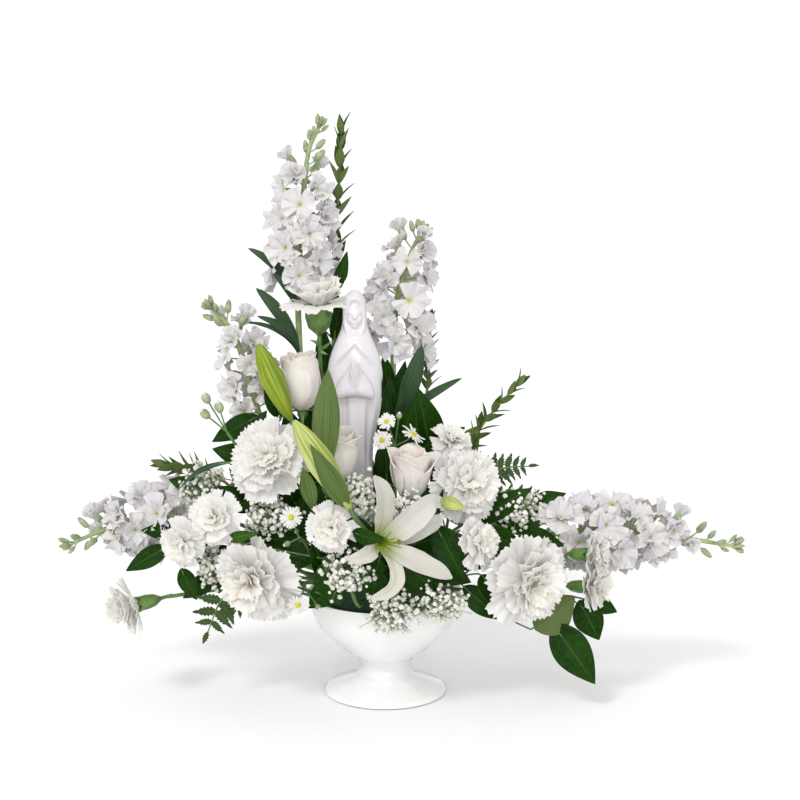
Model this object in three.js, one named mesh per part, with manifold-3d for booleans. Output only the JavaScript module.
// A one-sided sympathy arrangement in white and green: stock, carnations, roses, a lily, daisies and
// baby's breath round a small veiled figurine, in wet foam in a footed bowl.
// Millimetres, +Z up, front towards -Y, origin at the centre of the bowl's foot.
import * as THREE from "three";
import Module from "manifold-3d";
import { mergeVertices } from "three/addons/utils/BufferGeometryUtils.js";

const wasm = await Module();
wasm.setup();

// Driving sizes of the holder
const BOWL = { rimRadius: 78, rimHeight: 105, footRadius: 62, waist: 26, wall: 3.5, sides: 20 };
const FOAM = { radius: 70, bottom: 58, top: 150, edge: 7, holeDepth: 13, sides: 18 };
const FIGURINE = { x: -30, y: 4, height: 263, baseRadius: 29 };
const GAP = 0.35;
const BEYOND_FOAM = 14;
const LEAD_SHARES = [1, 0.5, 0.2];

// The front view, from which every bloom is placed. A place is [u, v, depth]: u is mm to the right of
// the bowl's axis and v mm above its foot, as they look from an eye this far off and this many degrees
// above the level, and depth is the place's own y.
const VIEW = { distance: 1800, elevation: 10, aim: new THREE.Vector3(15, 0, 303), u: 15, v: 290 };

const UP = new THREE.Vector3(0, 0, 1);
const GOLDEN_ANGLE = Math.PI * (3 - Math.sqrt(5));
const TURN = 2 * Math.PI;
const vec = (x, y, z) => new THREE.Vector3(x, y, z);
const mix = (a, b, t) => a.clone().lerp(b, t);
const unit = ([x, y, z]) => vec(x, y, z).normalize();

// The point at a depth that is seen at (u, v) in the front view.
function seen([u, v, depth]) {
  const tilt = THREE.MathUtils.degToRad(VIEW.elevation);
  const forward = vec(0, Math.cos(tilt), -Math.sin(tilt));
  const upward = vec(0, Math.sin(tilt), Math.cos(tilt));
  const eye = VIEW.aim.clone().addScaledVector(forward, -VIEW.distance);
  const ray = forward.clone().multiplyScalar(VIEW.distance);
  ray.x += u - VIEW.u;
  ray.addScaledVector(upward, v - VIEW.v);
  return eye.addScaledVector(ray, (depth - eye.y) / ray.y);
}

// A place in the front view, or a point of the object itself.
const placed = (place) => (Array.isArray(place) ? seen(place) : place);

// A seeded source of numbers from 0 to 1.
function seeded(seed) {
  let state = seed;
  return () => {
    state = (state * 16807) % 2147483647;
    return state / 2147483647;
  };
}

// A local frame with z along a direction, turned round it by roll.
class Frame {
  constructor(origin, direction, roll = 0) {
    this.origin = origin.clone();
    this.z = direction.clone().normalize();
    const hint = Math.abs(this.z.z) > 0.98 ? vec(0, 1, 0) : UP;
    this.x = hint.clone().cross(this.z).normalize().applyAxisAngle(this.z, roll);
    this.y = this.z.clone().cross(this.x);
  }

  at(x, y, z) {
    const point = this.origin.clone().addScaledVector(this.x, x);
    return point.addScaledVector(this.y, y).addScaledVector(this.z, z);
  }

  round(radius, angle, z) {
    return this.at(radius * Math.cos(angle), radius * Math.sin(angle), z);
  }
}

// Solids

function solidFrom(geometry) {
  const bare = geometry.clone();
  bare.deleteAttribute("normal");
  bare.deleteAttribute("uv");
  const merged = mergeVertices(bare, 1e-4);
  const triVerts = new Uint32Array(merged.index.array);
  const vertProperties = merged.attributes.position.array;
  const make = () => new wasm.Manifold(new wasm.Mesh({ numProp: 3, vertProperties, triVerts }));
  const made = make();
  if (made.volume() >= 0) return made;
  for (let i = 0; i < triVerts.length; i += 3) {
    [triVerts[i + 1], triVerts[i + 2]] = [triVerts[i + 2], triVerts[i + 1]];
  }
  return make();
}

// Joins shapes into one body. Hollows that this seals and scraps that touch nothing are dropped.
function fuse(geometries) {
  const joined = wasm.Manifold.union(geometries.map(solidFrom));
  const bodies = joined.decompose().sort((a, b) => b.volume() - a.volume());
  return bodies[0];
}

// A body turned round a frame's z from its tail to its crown, through rows of [radius, height]. cut
// gives each side of each row its share of the radius and its lift.
function turned(frame, tail, rows, crown, sides, cut = () => [1, 0]) {
  const profile = [[0, tail], ...rows, [0, crown]];
  const outline = profile.map(([radius, height]) => new THREE.Vector2(radius, height));
  const geometry = new THREE.LatheGeometry(outline, sides);
  const place = (side) =>
    profile.map(([radius, height], row) => {
      const inner = row > 0 && row <= rows.length;
      const [share, lift] = inner ? cut(side, row - 1) : [1, 0];
      return frame.round(radius * share, (TURN * side) / sides, height + lift);
    });
  const around = Array.from({ length: sides }, (_, side) => place(side));
  geometry.setFromPoints([...around, around[0]].flat());
  return geometry;
}

// A path through points, on which a tube has a ring at each one.
class Polyline extends THREE.Curve {
  constructor(points) {
    super();
    this.points = points;
  }

  getPoint(t, target = vec(0, 0, 0)) {
    const along = t * (this.points.length - 1);
    const i = Math.min(Math.floor(along + 1e-9), this.points.length - 2);
    return target.lerpVectors(this.points[i], this.points[i + 1], along - i);
  }

  getPointAt(t, target) {
    return this.getPoint(t, target);
  }

  getTangentAt(t, target = vec(0, 0, 0)) {
    const i = Math.round(t * (this.points.length - 1));
    const before = this.points[Math.max(0, i - 1)];
    const after = this.points[Math.min(this.points.length - 1, i + 1)];
    return target.subVectors(after, before).normalize();
  }
}

function tube(points, radius, sides = 4) {
  const corners = Array.from({ length: sides }, (_, i) => {
    const angle = (TURN * i) / sides;
    return new THREE.Vector2(radius * Math.cos(angle), radius * Math.sin(angle));
  });
  const path = new Polyline(points);
  const steps = points.length - 1;
  return new THREE.ExtrudeGeometry(new THREE.Shape(corners), { extrudePath: path, steps });
}

// Closed rings of points from a tail point to a tip point.
function loft(tail, rings, tip) {
  const sides = rings[0].length;
  const index = (ring, side) => 1 + ring * sides + (side % sides);
  const last = 1 + rings.length * sides;
  const triangles = [];
  for (let side = 0; side < sides; side++) {
    triangles.push(0, index(0, side + 1), index(0, side));
    for (let ring = 0; ring + 1 < rings.length; ring++) {
      triangles.push(index(ring, side), index(ring, side + 1), index(ring + 1, side + 1));
      triangles.push(index(ring, side), index(ring + 1, side + 1), index(ring + 1, side));
    }
    triangles.push(last, index(rings.length - 1, side), index(rings.length - 1, side + 1));
  }
  const geometry = new THREE.BufferGeometry().setFromPoints([tail, ...rings.flat(), tip]);
  return geometry.setIndex(triangles);
}

// The line up the middle of a leaf from base to tip, whose middle is lifted by bend towards the side
// that the leaf faces.
function leafSpine(base, tip, bend, face) {
  const along = tip.clone().sub(base);
  const across = along.clone().cross(face ?? vec(0, -1, 0.25)).normalize();
  const normal = across.clone().cross(along).normalize();
  const at = (t) => mix(base, tip, t).addScaledVector(normal, bend * 4 * t * (1 - t));
  return { at, across, normal };
}

// A leaf folded along its midrib, with its edges lifted. outline gives its share of the width at even
// steps.
function leaf(base, tip, width, { bend = 0, outline = [0.7, 1, 0.7], face, thick = 1.3 } = {}) {
  const fold = 0.2;
  const { at, across, normal } = leafSpine(base, tip, bend, face);
  const rings = outline.map((share, i) => {
    const middle = at((i + 1) / (outline.length + 1));
    const half = (width / 2) * share;
    const lifted = middle.clone().addScaledVector(normal, fold * half);
    const edge = (side) => lifted.clone().addScaledVector(across, side * half);
    const rib = (side) => middle.clone().addScaledVector(normal, (side * thick) / 2);
    return [edge(1), rib(1), edge(-1), rib(-1)];
  });
  return loft(base, rings, tip);
}

// What later pieces keep clear of: round-ended rods along stems, blooms and leaves, each with the
// name of the piece that it belongs to.
const keptClear = [];

function keepClear(owner, a, b, radius) {
  keptClear.push({ owner, a, b, radius });
}

// The distance between the segments from a to b and from c to d.
function segmentDistance(a, b, c, d) {
  const clamp = (x) => Math.min(1, Math.max(0, x));
  const first = b.clone().sub(a);
  const second = d.clone().sub(c);
  const between = a.clone().sub(c);
  const firstSquared = first.lengthSq() + 1e-9;
  const secondSquared = second.lengthSq() + 1e-9;
  const product = first.dot(second);
  const toFirst = first.dot(between);
  const toSecond = second.dot(between);
  const spread = firstSquared * secondSquared - product * product;
  const start = spread > 1e-6 ? clamp((product * toSecond - toFirst * secondSquared) / spread) : 0;
  const t = clamp((product * start + toSecond) / secondSquared);
  const s = clamp((product * t - toFirst) / firstSquared);
  return a.clone().addScaledVector(first, s).distanceTo(c.clone().addScaledVector(second, t));
}

// Whether a rod stays outside the foam and the bowl.
function isClearOfHolder(a, b, radius) {
  return [0, 0.25, 0.5, 0.75, 1].every((t) => {
    const point = mix(a, b, t);
    const out = Math.hypot(point.x, point.y) - radius - 1;
    const low = point.z - radius - 1;
    return (out > FOAM.radius || low > FOAM.top) && (out > BOWL.rimRadius + 2 || low > BOWL.rimHeight);
  });
}

// The room between a rod and the nearest rod of another piece, below zero where they cross.
function roomRound(owner, a, b, radius) {
  if (!isClearOfHolder(a, b, radius)) return -BOWL.rimRadius;
  const others = keptClear.filter((rod) => rod.owner !== owner);
  return Math.min(...others.map((rod) => segmentDistance(a, b, rod.a, rod.b) - radius - rod.radius));
}

function isClear(owner, a, b, radius) {
  return roomRound(owner, a, b, radius) > GAP;
}

// Foam and stems

// Where a stem can enter the foam: rows round its side and rings on its top.
function foamSlots() {
  const slots = [];
  const rows = [
    { z: 114, lean: 0.0 },
    { z: 126, lean: 0.2 },
    { z: 138, lean: 0.4 },
  ];
  rows.forEach(({ z, lean }, row) => {
    for (let i = 0; i < 20; i++) {
      const angle = (TURN * (i + row / 2)) / 20;
      const out = unit([Math.cos(angle), Math.sin(angle), lean]);
      slots.push({ point: vec(FOAM.radius * Math.cos(angle), FOAM.radius * Math.sin(angle), z), out });
    }
  });
  const rings = [
    { radius: 56, count: 20, lean: 0.45 },
    { radius: 42, count: 14, lean: 0.25 },
    { radius: 27, count: 8, lean: 0.12 },
  ];
  for (const { radius, count, lean } of rings) {
    for (let i = 0; i < count; i++) {
      const angle = (TURN * (i + 0.5)) / count;
      const point = vec(radius * Math.cos(angle), radius * Math.sin(angle), FOAM.top);
      const toFigurine = Math.hypot(point.x - FIGURINE.x, point.y - FIGURINE.y);
      const out = unit([Math.cos(angle) * lean, Math.sin(angle) * lean, 1]);
      if (toFigurine > FIGURINE.baseRadius + 9) slots.push({ point, out });
    }
  }
  return slots;
}

const freeSlots = foamSlots();
const holes = [];

// The way of a stem from a slot of the foam through some points.
function routeFrom(slot, points, steps) {
  const outer = slot.point.clone().addScaledVector(slot.out, BEYOND_FOAM);
  const curve = new THREE.CatmullRomCurve3([outer, ...points], false, "centripetal");
  return { slot, route: curve.getPoints(steps) };
}

function boreHole({ point, out }, radius, sides) {
  const bottom = point.clone().addScaledVector(out, -FOAM.holeDepth - GAP);
  const mouth = point.clone().addScaledVector(out, BEYOND_FOAM);
  holes.push(tube([bottom, mouth], radius + GAP / Math.cos(Math.PI / sides), sides));
}

// A stem from the foam to a place where it points along facing, and then through the points of its
// spine. It takes the free slot nearest to its way from which it stays clear of all that has its place,
// or else the slot from which it has the most room.
function stemTo(owner, end, facing, { radius = 2, lead = 22, steps = 3, sides = 4, spine = [] } = {}) {
  const approach = end.clone().addScaledVector(facing, -lead);
  const cost = ({ point, out }) => {
    const beyond = point.clone().addScaledVector(out, 2 * BEYOND_FOAM);
    return beyond.distanceTo(approach);
  };
  const nearest = [...freeSlots].sort((a, b) => cost(a) - cost(b));
  const ways = LEAD_SHARES.flatMap((share) => {
    const start = end.clone().addScaledVector(facing, -lead * share);
    return nearest.map((slot) => routeFrom(slot, [start, end], steps));
  });
  const room = ({ route }) =>
    Math.min(...route.slice(1).map((point, i) => roomRound(owner, route[i], point, radius)));
  const roomiest = () => ways.reduce((a, b) => (room(b) > room(a) ? b : a));
  const { slot, route } = ways.find((way) => room(way) > GAP) ?? roomiest();
  freeSlots.splice(freeSlots.indexOf(slot), 1);
  boreHole(slot, radius, sides);
  for (let i = 0; i + 1 < route.length; i++) keepClear(owner, route[i], route[i + 1], radius);
  const inner = slot.point.clone().addScaledVector(slot.out, -FOAM.holeDepth);
  return { shape: tube([inner, ...route, ...spine.slice(1)], radius, sides), route };
}

// The bearing part of a stem: a smooth line through places, in even steps.
function spineThrough(owner, places, steps, radius) {
  const curve = new THREE.CatmullRomCurve3(places.map(placed), false, "centripetal");
  const spine = new Polyline(curve.getSpacedPoints(steps));
  for (let i = 0; i < steps; i++) keepClear(owner, spine.points[i], spine.points[i + 1], radius);
  return spine;
}

function stemOf(owner, spine, options) {
  const way = { ...options, spine: spine.points };
  return stemTo(owner, spine.points[0], spine.getTangentAt(0), way).shape;
}

// Finishes

const finish = (color, roughness) => new THREE.MeshStandardMaterial({ color, roughness, metalness: 0 });
const PORCELAIN = finish(0xf4f2f3, 0.25);
const GLAZE = finish(0xf3f3f0, 0.2);
const WET_FOAM = finish(0x35543a, 0.95);
const WHITE_PETAL = finish(0xf6f5f3, 0.6);
const ROSE_PETAL = finish(0xf2edea, 0.55);
const LILY_PETAL = finish(0xf5f5ea, 0.45);
const BUD_GREEN = finish(0xa9bf3c, 0.45);
const DARK_LEAF = finish(0x24491d, 0.4);
const GREY_LEAF = finish(0x5a7350, 0.6);
const FERN_LEAF = finish(0x33562c, 0.5);

const arrangement = new THREE.Group();

function add(name, solid, material) {
  const { vertProperties, triVerts } = solid.getMesh();
  const geometry = new THREE.BufferGeometry();
  geometry.setAttribute("position", new THREE.BufferAttribute(vertProperties, 3));
  geometry.setIndex(new THREE.BufferAttribute(triVerts, 1));
  geometry.computeVertexNormals();
  const mesh = new THREE.Mesh(geometry, material);
  mesh.name = name;
  arrangement.add(mesh);
}

// Every bloom takes its place before any stem grows, so that the stems can pass between them.
const planted = [];

function plant(name, material, bloom, grow) {
  planted.push({ name, material, bloom, grow });
}

function growStems() {
  for (const { name, material, bloom, grow } of planted) {
    add(name, fuse([...bloom, ...grow()]), material);
  }
}

// Flowers

// Rows of petals of a carnation, from the outermost, as [radius, height] shares of its radius. Every
// second row is the hollow between two rows of petals.
const FULL_HEAD = [
  [1, 0.12],
  [0.74, 0.2],
  [0.9, 0.42],
  [0.52, 0.42],
  [0.64, 0.68],
  [0.28, 0.6],
  [0.32, 0.84],
];
const SMALL_HEAD = [
  [1, 0.12],
  [0.6, 0.3],
  [0.74, 0.5],
  [0.3, 0.46],
  [0.36, 0.72],
];
const PETAL_POINTS = 3;
const PETAL_NOTCH = 0.74;
const PETAL_LIFT = 0.12;
const CALYX_THROAT = 0.45;

// The green cup under the petals of a carnation, larger under larger heads
const calyxUnder = (radius) => ({ length: 12 + radius / 3, width: 3.4 + radius / 9 });

function carnationHead(name, place, direction, plan) {
  const { radius, rows, petals, seed, calyx = calyxUnder(radius) } = plan;
  const frame = new Frame(seen(place), direction, seed);
  const random = seeded(seed * 97);
  const cut = (side, row) => {
    if (row % 2 === 0) return [1, 0];
    const step = (side + (row % 4 === 1 ? 0 : 1)) % PETAL_POINTS;
    const share = step === 0 ? PETAL_NOTCH : 0.96 + 0.08 * random();
    return [share, radius * PETAL_LIFT * (random() - 0.5)];
  };
  const petalRows = rows.map(([r, z]) => [r * radius, z * radius]);
  const profile = [[calyx.width, -CALYX_THROAT * calyx.length], ...petalRows];
  const crown = petalRows[petalRows.length - 1][1] - 0.1 * radius;
  const head = turned(frame, -calyx.length, profile, crown, petals * PETAL_POINTS, cut);
  keepClear(name, frame.at(0, 0, radius * 0.3), frame.at(0, 0, radius * 0.35), radius);
  keepClear(name, frame.at(0, 0, -calyx.length), frame.origin, calyx.width);
  return { head, foot: frame.at(0, 0, 3 - calyx.length) };
}

function carnation(name, plan) {
  const { at, facing, radius, rows = FULL_HEAD, petals = 5, seed = 1, stem = 2.3, calyx } = plan;
  const direction = unit(facing);
  const { head, foot } = carnationHead(name, at, direction, { radius, rows, petals, seed, calyx });
  const way = { radius: stem, lead: plan.lead, sides: plan.stemSides };
  plant(name, WHITE_PETAL, [head], () => [stemTo(name, foot, direction, way).shape]);
}

// Two small carnations on one forked stem.
function carnationPair(name, { heads, facing, radius, fork, stem = 2.2 }) {
  const direction = unit(facing);
  const joint = seen(fork);
  const made = heads.map((place, i) =>
    carnationHead(name, place, direction, { radius, rows: SMALL_HEAD, petals: 4, seed: i + 1 }),
  );
  const branches = made.map(({ foot }) => tube([joint, foot], 0.77 * stem, 3));
  const blooms = made.map(({ head }) => head);
  plant(name, WHITE_PETAL, [...blooms, ...branches], () => [
    stemTo(name, joint, direction, { radius: stem, lead: 30 }).shape,
  ]);
}

// Rows of a half-open rose as [radius, height] shares of its radius and height, up the cup of outer
// petals, over their lips and inward over the rolled heart.
const ROSE_ROWS = [
  [0.5, 0.04],
  [0.98, 0.42],
  [1.12, 0.84],
  [0.82, 0.78],
  [0.84, 0.98],
  [0.52, 0.9],
  [0.4, 1.02],
];
const ROSE = {
  petals: 5,
  pointsEach: 3,
  cupRow: 1,
  lipRows: [2, 4, 6],
  hip: 10,
  heart: 0.95,
  stem: 2.4,
};

function rose(name, { at, facing, radius, height, seed = 1 }) {
  const direction = unit(facing);
  const frame = new Frame(seen(at).addScaledVector(direction, -height / 2), direction, seed);
  const random = seeded(seed * 53);
  const cut = (side, row) => {
    const shift = row > 3 ? 1 : 0;
    const between = (side + shift) % ROSE.pointsEach === 0;
    if (!ROSE.lipRows.includes(row)) return [row === ROSE.cupRow && between ? 0.9 : 1, 0];
    return between ? [0.84, -0.06 * height] : [0.98 + 0.05 * random(), 0];
  };
  const rows = ROSE_ROWS.map(([r, z]) => [r * radius, z * height]);
  const sides = ROSE.petals * ROSE.pointsEach;
  const cup = turned(frame, -ROSE.hip, rows, height * ROSE.heart, sides, cut);
  const belly = frame.at(0, 0, height * 0.42);
  keepClear(name, belly, frame.at(0, 0, height * 0.6), radius * 1.05);
  keepClear(name, frame.origin, belly, radius * 0.9);
  const foot = frame.at(0, 0, -ROSE.hip / 2);
  plant(name, ROSE_PETAL, [cup], () => [stemTo(name, foot, direction, { radius: ROSE.stem }).shape]);
}

// Sections of a tepal: how far from throat to tip, how much it arches there, and its share of the width
const TEPAL_SECTIONS = [
  { reach: 0.25, rise: 7, share: 0.55 },
  { reach: 0.58, rise: 11, share: 1 },
  { reach: 0.84, rise: 5, share: 0.8 },
];
const TEPAL = { halfThickness: 0.8, crease: 1.5, clearance: 7 };
const LILY_THROAT = { depth: 26, rows: [[3.4, -22], [8, -2]], stem: 2.6 };
const STYLE = { radius: 1.3, stigma: 2.8, clearance: 6 };

// An open lily: tepals bent back round a throat to tips of their own, with style and stigma.
function lily(name, { throat, facing, tepals, style }) {
  const direction = unit(facing);
  const centre = seen(throat);
  const frame = new Frame(centre, direction);
  const bloom = tepals.map(({ tip, width }) => {
    const end = seen(tip);
    const across = end.clone().sub(centre).cross(direction).normalize();
    const rings = TEPAL_SECTIONS.map(({ reach, rise, share }) => {
      const middle = mix(centre, end, reach).addScaledVector(direction, rise);
      const edge = (side) => middle.clone().addScaledVector(across, (side * width * share) / 2);
      const rib = (lift) => middle.clone().addScaledVector(direction, lift - TEPAL.crease);
      return [edge(1), rib(TEPAL.halfThickness), edge(-1), rib(-TEPAL.halfThickness)];
    });
    keepClear(name, mix(centre, end, 0.2), mix(centre, end, 0.95), TEPAL.clearance);
    return loft(mix(centre, end, 0.02).addScaledVector(direction, -6), rings, end);
  });
  const stigma = frame.at(0, 0, style);
  keepClear(name, frame.origin, stigma, STYLE.clearance);
  bloom.push(turned(frame, -LILY_THROAT.depth, LILY_THROAT.rows, 2, 6));
  bloom.push(tube([frame.at(0, 0, -4), stigma], STYLE.radius));
  bloom.push(turned(new Frame(stigma, direction), -2, [[STYLE.stigma, 1]], 3, 5));
  const foot = frame.at(0, 0, 3 - LILY_THROAT.depth);
  const way = { radius: LILY_THROAT.stem };
  plant(name, LILY_PETAL, bloom, () => [stemTo(name, foot, direction, way).shape]);
}

// A closed lily bud, three-ribbed, with the leaves of its stem.
const LILY_BUD_ROWS = [[0.42, 0.06], [0.72, 0.25], [1, 0.55], [0.72, 0.82], [0.34, 0.96]];

function lilyBud(name, { base, tip, radius, leaves = [] }) {
  const foot = seen(base);
  const along = seen(tip).sub(foot);
  const length = along.length();
  const frame = new Frame(foot, along);
  const rows = LILY_BUD_ROWS.map(([r, z]) => [r * radius, z * length]);
  const bud = turned(frame, 0, rows, length, 6, (side) => [side % 2 ? 1 : 0.86, 0]);
  keepClear(name, frame.at(0, 0, length * 0.2), frame.at(0, 0, length * 0.8), radius);
  keepClear(name, foot, frame.at(0, 0, length * 0.2), radius * 0.7);
  const blades = leaves.map(({ from, to, width, bend }) => {
    keepClear(name, mix(seen(from), seen(to), 0.2), mix(seen(from), seen(to), 0.8), width * 0.3);
    return leaf(seen(from), seen(to), width, { bend, outline: [0.8, 1, 0.66] });
  });
  const shapes = [bud, ...blades];
  const joint = frame.at(0, 0, 4);
  plant(name, BUD_GREEN, shapes, () => [stemTo(name, joint, frame.z, { radius: 2.4 }).shape]);
}

// A frame at a share of a spine's length, looking out sideways at an angle round it and rising.
function sideways(spine, share, angle, rise) {
  const along = spine.getTangentAt(share);
  const origin = spine.getPointAt(share);
  const facing = new Frame(origin, along, angle).x.addScaledVector(along, rise);
  return new Frame(origin, facing, angle);
}

const STOCK = { stem: 2.3, spineSteps: 5, spineRadius: 3, budLength: 24, tip: [[3.2, 2]] };

// A spike of stock: florets in a golden spiral up its spine, then buds to the tip, and long leaves.
// bloom is the stretch of the spine that bears florets, as shares of its length.
function stock(name, { route, bloom, florets, buds, floretRadius, leaves = [], seed }) {
  const spine = spineThrough(name, route, STOCK.spineSteps, STOCK.spineRadius);
  const random = seeded(seed);
  const stalk = floretRadius * 0.8;
  const lastBud = 0.97;
  const shapes = [];
  for (let i = 0; i < florets; i++) {
    const share = bloom[0] + ((bloom[1] - bloom[0]) * i) / (florets - 1);
    const radius = floretRadius * (1 - 0.25 * (i / florets) ** 3) * (0.94 + 0.12 * random());
    const frame = sideways(spine, share, i * GOLDEN_ANGLE, 0.3);
    const cut = (side) => [side % 2 ? 1.05 : 0.66, radius * 0.3 * (random() - 0.5)];
    const face = frame.at(0, 0, stalk + radius * 0.3);
    if (!isClear(name, frame.at(0, 0, stalk), face, radius * 0.8)) continue;
    shapes.push(turned(frame, 1.4, [[radius, stalk + radius * 0.1]], stalk + radius * 0.42, 8, cut));
  }
  for (let i = 0; i < buds; i++) {
    const share = i / (buds - 1);
    const height = bloom[1] + 0.05 + (lastBud - 0.05 - bloom[1]) * share;
    const frame = sideways(spine, height, i * GOLDEN_ANGLE + 1, 1.1);
    const length = STOCK.budLength * (1 - 0.5 * share);
    if (!isClear(name, frame.at(0, 0, 5), frame.at(0, 0, length), 3)) continue;
    shapes.push(turned(frame, 1.2, [[length * 0.18, length * 0.7]], length, 3));
  }
  shapes.push(turned(new Frame(spine.getPointAt(1), spine.getTangentAt(1)), -4, STOCK.tip, 8, 5));
  for (const { share, to, width, bend = 5 } of leaves) {
    const from = spine.getPointAt(share);
    shapes.push(leaf(from, seen(to), width, { bend, outline: [0.6, 1, 0.6] }));
    keepClear(name, from, seen(to), width * 0.3);
  }
  keepClear(name, spine.getPointAt(bloom[0]), spine.getPointAt(bloom[1]), floretRadius * 2);
  keepClear(name, spine.getPointAt(bloom[1]), spine.getPointAt(1), 9);
  plant(name, WHITE_PETAL, shapes, () => [stemOf(name, spine, { radius: STOCK.stem })]);
}

// A spray of daisies: each head a star of rays round a raised disc, with round green buds.
function daisies(name, { heads, buds = [], budRadius = 3, fork, facing }) {
  const joint = seen(fork);
  const shapes = [];
  const twig = (end) => {
    shapes.push(tube([joint, end], 0.9, 3));
    keepClear(name, joint, end, 1);
  };
  for (const { at, radius, turn } of heads) {
    const frame = new Frame(seen(at), unit(turn));
    const ray = (side, row) => [row || side % 2 ? 1 : 0.5, 0];
    shapes.push(turned(frame, 0, [[radius, 2], [radius * 0.34, 2.6]], 5, 12, ray));
    keepClear(name, frame.origin, frame.at(0, 0, 3), radius);
    twig(frame.at(0, 0, 2.6));
  }
  for (const at of buds) {
    const frame = new Frame(seen(at), seen(at).sub(joint));
    shapes.push(turned(frame, -1.3 * budRadius, [[budRadius, 0]], 1.3 * budRadius, 5));
    keepClear(name, frame.origin, frame.at(0, 0, 1), budRadius + 1);
    twig(frame.at(0, 0, -0.7 * budRadius));
  }
  plant(name, WHITE_PETAL, shapes, () => [
    stemTo(name, joint, unit(facing), { radius: 1.5, lead: 12, sides: 3 }).shape,
  ]);
}

// A cloud of baby's breath: a stem to the middle of it, and twigs off its last stretch, each with a
// tiny floret.
const PANICLE = 24;

function babysBreath(name, { at, spread, twigs, seed, facing }) {
  const centre = seen(at);
  const random = seeded(seed);
  const direction = facing ? unit(facing) : centre.clone().sub(vec(0, 0, FOAM.top - 25)).normalize();
  const spine = new Polyline([centre.clone().addScaledVector(direction, -PANICLE), centre]);
  const shapes = [stemOf(name, spine, { radius: 1.2, lead: 12, sides: 3 })];
  for (let i = 0; i < twigs; i++) {
    const height = 1 - (2 * (i + 0.5)) / twigs;
    const angle = i * GOLDEN_ANGLE + random();
    const flat = Math.sqrt(1 - height * height);
    const way = vec(flat * Math.cos(angle), flat * Math.sin(angle), height).multiply(vec(...spread));
    const tip = centre.clone().addScaledVector(way, 0.72 + 0.28 * random());
    const root = spine.getPointAt((i + 0.7) / twigs);
    if (!isClear(name, root, tip, 1.5) || !isClear(name, tip, tip, 6)) continue;
    const length = tip.distanceTo(root);
    const twig = new Frame(root, tip.clone().sub(root), i);
    shapes.push(turned(twig, 0, [[0.8, 3], [0.8, length - 4], [3.6, length]], length + 2.6, 3));
    keepClear(name, root, tip, 1);
    keepClear(name, tip, tip, 4);
  }
  add(name, fuse(shapes), WHITE_PETAL);
}

// Foliage

// A myrtle sprig: pairs of small pointed leaves, each pair turned a quarter round from the last.
function myrtle(name, { route, pairs, leafLength }) {
  const spine = spineThrough(name, route, 5, 2);
  const shapes = [stemOf(name, spine, { radius: 1.6, lead: 12, sides: 3 })];
  for (let i = 0; i < pairs; i++) {
    const share = (0.96 * i) / (pairs - 1);
    for (const turn of [0, Math.PI]) {
      const rise = i === pairs - 1 ? 3 : 1.3;
      const side = sideways(spine, share, (i * Math.PI) / 2 + turn + 0.4, rise);
      const root = side.at(0, 0, 0.8);
      const end = side.at(0, 0, leafLength * (1 - 0.25 * share));
      if (!isClear(name, root, end, leafLength * 0.12)) continue;
      const facing = spine.getTangentAt(share);
      shapes.push(leaf(root, end, leafLength * 0.42, { outline: [1], face: facing, thick: 1.8 }));
      keepClear(name, root, end, leafLength * 0.1);
    }
  }
  add(name, fuse(shapes), DARK_LEAF);
}

// A leaflet with two teeth a side: a thin lens whose outline zigzags.
function toothedLeaflet(base, tip, width, facing) {
  const along = tip.clone().sub(base);
  const across = along.clone().cross(facing).normalize();
  const normal = across.clone().cross(along).normalize();
  const teeth = [[0.25, 0.5], [0.45, 0.3], [0.65, 0.42]];
  const out = (t, reach) => mix(base, tip, t).addScaledVector(across, reach * width);
  const edge = (sign) => teeth.map(([t, half]) => out(t, sign * half));
  const middle = (side) => mix(base, tip, 0.45).addScaledVector(normal, side * 0.7);
  return loft(middle(-1), [[base, ...edge(1), tip, ...edge(-1).reverse()]], middle(1));
}

// A fern frond: toothed leaflets in two rows along an arched midrib, shorter towards the tip.
function fern(name, { route, leaflets, leafletLength, face }) {
  const spine = spineThrough(name, route, 4, 2);
  const facing = unit(face);
  const shapes = [stemOf(name, spine, { radius: 1.4, lead: 12, sides: 3 })];
  for (let i = 0; i < leaflets; i++) {
    const share = (i + 0.3) / leaflets;
    const along = spine.getTangentAt(share);
    const across = along.clone().cross(facing).normalize();
    for (const sign of [-1, 1]) {
      const out = across.clone().multiplyScalar(sign).addScaledVector(along, 0.55).normalize();
      const root = spine.getPointAt(share).addScaledVector(out, 0.4);
      const end = root.clone().addScaledVector(out, leafletLength * (1 - 0.7 * share * share));
      if (!isClear(name, root, end, 2)) continue;
      shapes.push(toothedLeaflet(root, end, root.distanceTo(end) * 0.4, facing));
      keepClear(name, root, end, 2);
    }
  }
  const tip = spine.getPointAt(1);
  const ahead = tip.clone().addScaledVector(spine.getTangentAt(1), leafletLength * 0.35);
  shapes.push(toothedLeaflet(mix(tip, ahead, -0.25), ahead, 6, facing));
  add(name, fuse(shapes), FERN_LEAF);
}

// The nearest point to a target on the part of a route that is clear of the foam.
function closestOn(route, target) {
  const shares = [0, 0.25, 0.5, 0.75, 1];
  const clearOfFoam = route.slice(1, -1);
  const spots = clearOfFoam.flatMap((point, i) => shares.map((t) => mix(point, route[i + 2], t)));
  return spots.reduce((a, b) => (b.distanceTo(target) < a.distanceTo(target) ? b : a));
}

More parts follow.
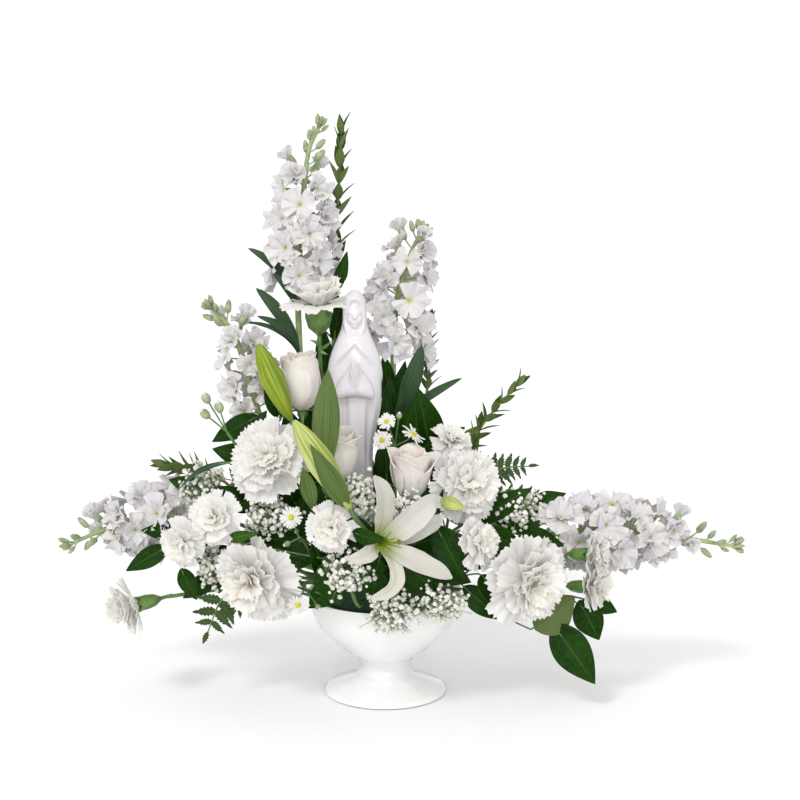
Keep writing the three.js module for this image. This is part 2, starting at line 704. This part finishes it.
// A branch of broad leaves, each with its own stalk from the stem to its base.
function leafBranch(name, { end, leaves, material = DARK_LEAF }) {
  const tip = placed(end);
  const direction = tip.clone().sub(vec(0, 0, FOAM.top - 25)).normalize();
  const blades = leaves.map(({ from, to, width, bend = 4, face }) => {
    const base = placed(from);
    const point = placed(to);
    keepClear(name, mix(base, point, 0.2), mix(base, point, 0.8), width * 0.4);
    const facing = face && unit(face);
    const shape = leaf(base, point, width, { bend, outline: [0.7, 1, 0.66], face: facing });
    return { stalkEnd: mix(base, leafSpine(base, point, bend, facing).at(0.25), 0.4), shape };
  });
  plant(name, material, blades.map(({ shape }) => shape), () => {
    const main = stemTo(name, tip, direction, { radius: 1.7, lead: 10, sides: 3 });
    const stalks = blades.map(({ stalkEnd }) => tube([closestOn(main.route, stalkEnd), stalkEnd], 1, 3));
    return [main.shape, ...stalks];
  });
}

// Holder and figurine

function bowl() {
  const { rimRadius, rimHeight, footRadius, waist, wall, sides } = BOWL;
  const floor = FOAM.bottom - GAP;
  const outline = [
    [0, 0],
    [footRadius, 0],
    [footRadius, 4],
    [waist * 1.6, 12],
    [waist, 30],
    [waist * 1.7, 48],
    [rimRadius * 0.87, 72],
    [rimRadius, rimHeight - 6],
    [rimRadius + 2, rimHeight],
    [rimRadius + 2 - wall, rimHeight],
    [rimRadius * 0.82 - wall, 72],
    [rimRadius * 0.62, floor],
    [0, floor],
  ];
  const profile = outline.map(([x, y]) => new THREE.Vector2(x, y));
  return solidFrom(new THREE.LatheGeometry(profile, sides).rotateX(Math.PI / 2));
}

function foam() {
  const { radius, bottom, top, edge, sides } = FOAM;
  const outline = [
    [0, bottom],
    [BOWL.rimRadius * 0.62 - 2, bottom],
    [radius - 11.5, 73],
    [radius, 101],
    [radius, top - edge],
    [radius - edge, top],
    [0, top],
  ];
  const profile = outline.map(([x, y]) => new THREE.Vector2(x, y));
  const block = solidFrom(new THREE.LatheGeometry(profile, sides).rotateX(Math.PI / 2));
  return block.subtract(wasm.Manifold.union(holes.map(solidFrom)));
}

// The figurine's robe and veil from foot to crown, as shares of its height and of its base radius
const ROBE = [
  { z: 0.03, wide: 1.0, deep: 0.95, fold: 0 },
  { z: 0.05, wide: 0.72, deep: 0.7, fold: 0.05 },
  { z: 0.3, wide: 0.6, deep: 0.6, fold: 0.08 },
  { z: 0.43, wide: 0.65, deep: 0.62, fold: 0.05 },
  { z: 0.54, wide: 0.85, deep: 0.7, fold: 0 },
  { z: 0.59, wide: 0.93, deep: 0.76, fold: 0 },
  { z: 0.68, wide: 0.91, deep: 0.74, fold: 0 },
  { z: 0.77, wide: 0.74, deep: 0.62, fold: 0 },
  { z: 0.84, wide: 0.48, deep: 0.48, fold: 0 },
  { z: 0.93, wide: 0.41, deep: 0.47, fold: 0 },
  { z: 0.975, wide: 0.31, deep: 0.36, fold: 0 },
  { z: 0.993, wide: 0.15, deep: 0.18, fold: 0 },
];
const ROBE_SIDES = 12;

// Parts of the figurine, placed as [mm to the side, mm back, share of its height]
const FACE = [
  { at: [0, -6, 0.908], size: [9, 10.5, 13], segments: 8 },
  { at: [0, -15.8, 0.9], size: [1.5, 2.2, 3.2], segments: 4 },
  { at: [0, -14.8, 0.882], size: [3, 1.6, 1.1], segments: 4 },
  { at: [-3.6, -13.8, 0.917], size: [2, 2, 1], segments: 4 },
  { at: [3.6, -13.8, 0.917], size: [2, 2, 1], segments: 4 },
];
const SLEEVE = { way: [[18, -4, 0.75], [19, -10, 0.62], [2, -27, 0.675]], radius: 6.5 };
const HAND = { at: [2.3, -25, 0.66], lean: -0.25, rows: [[3.2, 4], [3, 14], [1.6, 24]], length: 29 };

function figurine(name) {
  const { x, y, height, baseRadius } = FIGURINE;
  const foot = FOAM.top + GAP;
  const at = (dx, dy, z) => vec(x + dx, y + dy, foot + z * height);
  const ring = ({ z, wide, deep, fold }) =>
    Array.from({ length: ROBE_SIDES }, (_, side) => {
      const angle = (TURN * side) / ROBE_SIDES;
      const reach = baseRadius * (1 + (side % 2 ? fold : -fold));
      return at(reach * wide * Math.cos(angle), reach * deep * Math.sin(angle), z);
    });
  const hem = ring({ ...ROBE[0], z: 0 });
  const shapes = [loft(at(0, 0, 0), [hem, ...ROBE.map(ring)], at(0, 0, 1))];
  for (const { at: [dx, dy, z], size, segments } of FACE) {
    const sphere = new THREE.SphereGeometry(1, segments, segments / 2 + 1).rotateX(Math.PI / 2);
    const centre = at(dx, dy, z);
    shapes.push(sphere.scale(...size).translate(centre.x, centre.y, centre.z));
  }
  for (const side of [-1, 1]) {
    const sleeve = SLEEVE.way.map(([dx, dy, z]) => at(side * dx, dy, z));
    shapes.push(tube(sleeve, SLEEVE.radius, 5));
    const [dx, dy, z] = HAND.at;
    const palm = new Frame(at(side * dx, dy, z), vec(0, HAND.lean, 1));
    shapes.push(turned(palm, 0, HAND.rows, HAND.length, 5));
  }
  keepClear(name, at(0, 0, 0.02), at(0, 0, 0.76), baseRadius + 3);
  keepClear(name, at(0, 0, 0.76), at(0, 0, 1), baseRadius * 0.62);
  keepClear(name, at(0, -27, 0.67), at(0, -31, 0.76), 5);
  add(name, fuse(shapes), PORCELAIN);
}

add("pedestal_bowl", bowl(), GLAZE);
figurine("veiled_figurine");

// The flowers, each with its place and the way that it faces

const CARNATIONS = {
  carnation_upper_left: { at: [-113, 229, -56], facing: [-0.3, -0.8, 0.5], radius: 38, seed: 2 },
  carnation_lower_left: { at: [-127, 112, -78], facing: [-0.52, -0.85, -0.1], radius: 40, seed: 3 },
  carnation_lower_right: { at: [141, 110, -78], facing: [0.52, -0.85, -0.05], radius: 41, seed: 4 },
  carnation_right: { at: [80, 206, -46], facing: [0.45, -0.78, 0.4], radius: 34, seed: 5 },
  carnation_top: {
    at: [-67, 384, 14],
    facing: [-0.05, -0.1, 1],
    radius: 29,
    seed: 6,
    lead: 60,
    calyx: { length: 34, width: 14 },
  },
};

const SMALL = { rows: SMALL_HEAD, petals: 4, stem: 2, stemSides: 3 };
const SPRAY_CARNATIONS = {
  spray_carnation_front: { ...SMALL, at: [-53, 162, -104], facing: [-0.05, -0.95, 0.25], radius: 21 },
  spray_carnation_right: {
    ...SMALL,
    at: [92, 146, -86],
    facing: [0.72, -0.62, 0.25],
    radius: 22,
    seed: 2,
  },
  spray_carnation_far_left: {
    ...SMALL,
    at: [-247, 85, -40],
    facing: [-0.9, -0.4, -0.15],
    radius: 25,
    seed: 3,
  },
  spray_carnation_left: {
    ...SMALL,
    at: [-169, 172, -72],
    facing: [-0.35, -0.88, 0.3],
    radius: 24,
    seed: 4,
  },
  spray_carnation_outer_left: {
    ...SMALL,
    at: [-202, 148, -66],
    facing: [-0.45, -0.87, -0.15],
    radius: 22,
    seed: 5,
  },
  spray_carnation_upper_right: {
    ...SMALL,
    at: [66, 248, -20],
    facing: [0.35, -0.45, 0.8],
    radius: 19,
    seed: 6,
  },
};

const CARNATION_PAIR = {
  heads: [[204, 135, -54], [202, 103, -54]],
  facing: [0.92, -0.4, 0.04],
  radius: 20,
  fork: [162, 120, -26],
};

const ROSES = {
  rose_left: { at: [-84, 309, -8], facing: [-0.03, -0.08, 1], radius: 21, height: 58 },
  rose_right: { at: [26, 214, -56], facing: [0.04, -0.14, 1], radius: 22, height: 54, seed: 2 },
  rose_centre: { at: [-46, 234, -54], facing: [0.12, -0.2, 1], radius: 19, height: 54, seed: 3 },
};

const LILY = {
  throat: [-4, 147, -112],
  facing: [0.45, -0.85, 0.25],
  style: 38,
  tepals: [
    { tip: [-11, 213, -118], width: 26 },
    { tip: [51, 191, -94], width: 24 },
    { tip: [60, 170, -98], width: 20 },
    { tip: [68, 117, -106], width: 28 },
    { tip: [-14, 90, -132], width: 24 },
    { tip: [-38, 130, -134], width: 20 },
  ],
};

const LILY_BUDS = {
  lily_bud_tall: { base: [-94, 270, -36], tip: [-127, 346, -26], radius: 12.5 },
  lily_bud_front: {
    base: [-35, 181, -104],
    tip: [-91, 269, -116],
    radius: 14,
    leaves: [{ from: [-37, 182, -106], to: [-75, 246, -136], width: 20, bend: 4 }],
  },
};

const STOCKS = {
  stock_tall: {
    route: [[-85, 330, 34], [-87, 400, 42], [-83, 470, 44], [-76, 540, 44], [-66, 562, 44]],
    bloom: [0.3, 0.74],
    florets: 14,
    buds: 8,
    floretRadius: 21,
    seed: 3,
    leaves: [
      { share: 0.25, to: [-137, 442, 34], width: 12 },
      { share: 0.04, to: [-129, 402, 30], width: 13 },
      { share: 0.02, to: [-128, 374, 10], width: 10 },
    ],
  },
  stock_right: {
    route: [[8, 260, 48], [8, 320, 62], [12, 390, 66], [27, 440, 66], [35, 457, 66]],
    bloom: [0.32, 0.87],
    florets: 13,
    buds: 6,
    floretRadius: 19,
    seed: 7,
    leaves: [
      { share: 0.02, to: [37, 345, 30], width: 18 },
      { share: 0.02, to: [77, 312, 20], width: 10 },
    ],
  },
  stock_left: {
    route: [[-122, 262, 14], [-130, 290, 18], [-143, 335, 18], [-155, 362, 16], [-172, 380, 14]],
    bloom: [0.15, 0.68],
    florets: 9,
    buds: 7,
    floretRadius: 16,
    seed: 11,
  },
  stock_low_left: {
    route: [[-150, 158, 12], [-185, 170, 12], [-235, 172, 12], [-279, 161, 10], [-312, 147, 8]],
    bloom: [0.2, 0.72],
    florets: 13,
    buds: 8,
    floretRadius: 20,
    seed: 17,
  },
  stock_low_right: {
    route: [[120, 146, -8], [175, 157, -8], [235, 160, -8], [293, 153, -8], [347, 144, -8]],
    bloom: [0.2, 0.68],
    florets: 14,
    buds: 9,
    floretRadius: 21,
    seed: 23,
  },
};

const DAISIES = {
  bud_sprig: {
    heads: [],
    buds: [[-179, 292, -44], [-180, 276, -46], [-166, 283, -44]],
    budRadius: 5,
    fork: [-158, 258, -42],
    facing: [-0.5, -0.1, 0.8],
  },
  aster_left: {
    heads: [{ at: [-94, 173, -88], radius: 11, turn: [0, -1, 0.1] }],
    buds: [[-98, 146, -86]],
    fork: [-86, 152, -80],
    facing: [-0.2, -0.9, 0.3],
  },
  aster_low: {
    heads: [{ at: [-87, 86, -95], radius: 11, turn: [0, -0.9, -0.3] }],
    buds: [[-67, 83, -88], [-54, 92, -86]],
    fork: [-80, 102, -74],
    facing: [-0.1, -0.9, -0.3],
  },
  aster_right: {
    heads: [
      { at: [-3, 250, -44], radius: 10, turn: [0.1, -1, 0.2] },
      { at: [2, 268, -34], radius: 9, turn: [-0.2, -0.8, 0.6] },
      { at: [27, 255, -36], radius: 13, turn: [0.6, -0.3, 0.75] },
    ],
    buds: [[14, 274, -30]],
    fork: [10, 244, -26],
    facing: [0, -0.3, 0.9],
  },
};

const LEAF_BRANCHES = {
  lily_leaves: {
    end: [-66, 214, -84],
    material: GREY_LEAF,
    leaves: [
      { from: [-61, 196, -84], to: [-57, 321, -72], width: 27 },
      { from: [-70, 176, -86], to: [-82, 222, -98], width: 16 },
    ],
  },
  leaves_low_right: {
    end: [190, 90, -40],
    leaves: [
      { from: [168, 66, -54], to: [210, 6, -66], width: 38 },
      { from: [150, 60, -62], to: [190, 93, -54], width: 38 },
      { from: [194, 90, -44], to: [214, 50, -48], width: 30 },
      { from: [200, 92, -36], to: [232, 78, -32], width: 18 },
    ],
  },
  leaves_under_lily: {
    end: [76, 112, -62],
    leaves: [
      { from: [51, 164, -74], to: [78, 112, -84], width: 28 },
      { from: [78, 104, -62], to: [116, 70, -66], width: 24 },
    ],
  },
  leaves_collar_left: {
    end: [-58, 130, -72],
    leaves: [
      { from: [-62, 128, -76], to: [-44, 84, -92], width: 32 },
      { from: [-52, 146, -66], to: [-50, 196, -70], width: 28 },
      { from: [-32, 159, -106], to: [3, 151, -128], width: 15 },
    ],
  },
  leaves_collar_front: {
    end: [14, 124, -78],
    leaves: [
      { from: [18, 122, -80], to: [46, 90, -92], width: 30 },
      { from: [10, 126, -78], to: [-24, 108, -88], width: 28 },
    ],
  },
  leaves_right: {
    end: [88, 172, -30],
    leaves: [{ from: [90, 170, -30], to: [147, 202, -36], width: 24 }],
  },
  leaves_upper_right: {
    end: [47, 236, 24],
    leaves: [{ from: [46, 236, 24], to: [33, 302, 16], width: 36 }],
  },
  leaves_upper_left: {
    end: [-124, 264, -14],
    leaves: [{ from: [-126, 274, -10], to: [-173, 248, -16], width: 22 }],
  },
  leaves_low_left: {
    end: [-210, 136, -30],
    leaves: [
      { from: [-216, 144, -30], to: [-259, 119, -32], width: 20 },
      { from: [-204, 122, -40], to: [-188, 90, -46], width: 18 },
    ],
  },
  leaves_back_low: {
    end: vec(10, 112, 90),
    leaves: [
      { from: vec(0, 106, 104), to: vec(-25, 124, 42), width: 40, face: [0, 1, 0.3] },
      { from: vec(22, 108, 98), to: vec(62, 120, 50), width: 38, face: [0, 1, 0.3] },
    ],
  },
  leaves_back_left: {
    end: vec(-66, 92, 200),
    leaves: [
      { from: vec(-64, 92, 196), to: vec(-95, 100, 262), width: 40, face: [0, 1, 0.2] },
      { from: vec(-62, 92, 178), to: vec(-128, 104, 150), width: 40, face: [0, 1, 0.2] },
    ],
  },
  leaves_back_right: {
    end: vec(58, 94, 200),
    leaves: [
      { from: vec(58, 94, 194), to: vec(100, 102, 258), width: 40, face: [0, 1, 0.2] },
      { from: vec(56, 92, 176), to: vec(125, 104, 150), width: 40, face: [0, 1, 0.2] },
    ],
  },
};

const MYRTLES = {
  myrtle_tall: {
    route: [[-48, 330, 92], [-50, 400, 96], [-47, 490, 92], [-44, 560, 90]],
    pairs: 9,
    leafLength: 25,
  },
  myrtle_right: { route: [[80, 240, 10], [105, 275, 6], [130, 303, 2]], pairs: 5, leafLength: 23 },
  myrtle_left: { route: [[-170, 212, 22], [-192, 220, 22], [-214, 224, 20]], pairs: 5, leafLength: 24 },
  myrtle_rear: { route: [[42, 300, 100], [44, 340, 104], [46, 366, 104]], pairs: 5, leafLength: 20 },
};

const FERNS = {
  fern_low_left: {
    route: [[-142, 104, -40], [-162, 92, -50], [-178, 56, -52]],
    leaflets: 5,
    leafletLength: 26,
    face: [0, -1, 0.2],
  },
  fern_right: {
    route: [[90, 212, -8], [120, 222, -10], [146, 224, -12]],
    leaflets: 5,
    leafletLength: 24,
    face: [0, -0.8, 0.6],
  },
  fern_back_left: {
    route: [vec(-80, 78, 150), vec(-130, 96, 190), vec(-175, 104, 200)],
    leaflets: 4,
    leafletLength: 40,
    face: [0, 1, 0.4],
  },
  fern_back_right: {
    route: [vec(80, 78, 150), vec(130, 96, 174), vec(170, 102, 178)],
    leaflets: 4,
    leafletLength: 38,
    face: [0, 1, 0.4],
  },
};

const BABYS_BREATH = {
  babys_breath_upper_left: { at: [-182, 204, -24], spread: [26, 18, 22], twigs: 8, seed: 29 },
  babys_breath_left: { at: [-172, 125, -48], spread: [14, 14, 20], twigs: 7, seed: 37 },
  babys_breath_mid_left: { at: [-115, 172, -66], spread: [30, 14, 18], twigs: 8, seed: 41 },
  babys_breath_centre: { at: [-25, 192, -78], spread: [14, 12, 26], twigs: 7, seed: 43 },
  babys_breath_by_rose: { at: [22, 180, -84], spread: [30, 10, 14], twigs: 7, seed: 47 },
  babys_breath_low: {
    at: [-38, 110, -106],
    facing: [-0.2, -0.7, -0.7],
    spread: [22, 12, 20],
    twigs: 8,
    seed: 53,
  },
  babys_breath_drop: {
    at: [5, 77, -104],
    facing: [-0.3, -0.6, -0.75],
    spread: [24, 12, 18],
    twigs: 8,
    seed: 59,
  },
  babys_breath_low_right: {
    at: [54, 86, -92],
    facing: [0.35, -0.75, -0.5],
    spread: [28, 12, 16],
    twigs: 8,
    seed: 61,
  },
  babys_breath_right: { at: [136, 180, -30], spread: [28, 16, 22], twigs: 9, seed: 67 },
};

function each(plans, make) {
  for (const [name, plan] of Object.entries(plans)) make(name, plan);
}

each(CARNATIONS, carnation);
each(ROSES, rose);
lily("lily", LILY);
each(LILY_BUDS, lilyBud);
each(SPRAY_CARNATIONS, carnation);
carnationPair("spray_carnation_pair_right", CARNATION_PAIR);
each(STOCKS, stock);
each(DAISIES, daisies);
each(LEAF_BRANCHES, leafBranch);
growStems();
each(MYRTLES, myrtle);
each(FERNS, fern);
each(BABYS_BREATH, babysBreath);
add("floral_foam", foam(), WET_FOAM);

export default arrangement;
